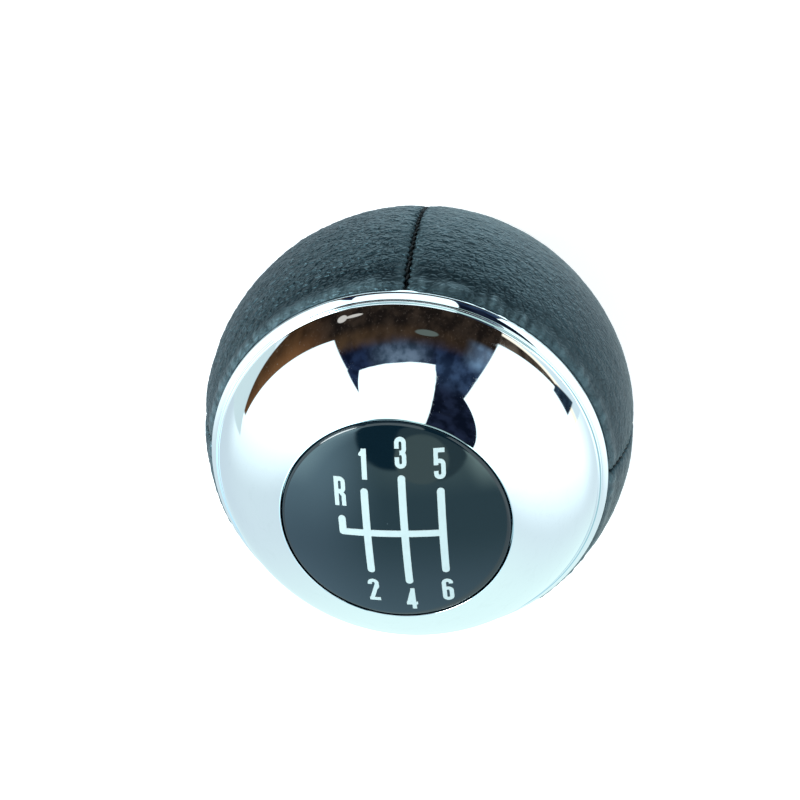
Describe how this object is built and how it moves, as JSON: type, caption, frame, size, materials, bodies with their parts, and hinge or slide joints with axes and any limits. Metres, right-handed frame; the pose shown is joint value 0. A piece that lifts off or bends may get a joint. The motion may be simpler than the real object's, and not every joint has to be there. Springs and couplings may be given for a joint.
{
  "type": "gear shift knob",
  "caption": "Leather-wrapped ball gear knob with a chromed dome, a glossy badge that carries a shift pattern, and a blind socket for the gear lever.",
  "frame": {"origin": "centre of the collar's foot, on the lever's axis", "axes": "+Z along the lever's axis, out of the badge; +Y towards gears one, three and five; +X towards gears five and six"},
  "size_m": [0.0504, 0.0504, 0.0514],
  "materials": {
    "badge_gloss": "gloss black moulding with a domed face",
    "white_ink": "white printed ink",
    "adhesive_tape": "thin double-sided tape",
    "dome_chrome": "mirror chrome on moulded plastic",
    "ring_chrome": "mirror chrome on moulded plastic",
    "black_leather": "black grained leather with a low sheen",
    "black_thread": "black twisted sewing thread",
    "core_plastic": "glass-filled moulding",
    "weight_steel": "turned steel",
    "spring_steel": "bright spring steel",
    "sleeve_plastic": "natural nylon moulding",
    "pad_rubber": "black rubber",
    "collar_plastic": "black satin moulding",
    "screw_steel": "zinc-plated steel"
  },
  "bodies": {
    "root": {"badge_disc": "badge_gloss", "gate_print": "white_ink", "badge_adhesive": "adhesive_tape", "chrome_dome": "dome_chrome", "trim_ring": "ring_chrome", "leather_front_right": "black_leather", "leather_front_left": "black_leather", "leather_rear_left": "black_leather", "leather_rear_right": "black_leather", "seam_thread_front": "black_thread", "seam_thread_right": "black_thread", "seam_thread_rear": "black_thread", "seam_thread_left": "black_thread", "core_body": "core_plastic", "weight_ring": "weight_steel", "push_nut": "spring_steel", "lever_sleeve": "sleeve_plastic", "retaining_clip": "spring_steel", "end_buffer": "pad_rubber", "base_collar": "collar_plastic", "collar_screws": "screw_steel"}
  },
  "joints": []
}
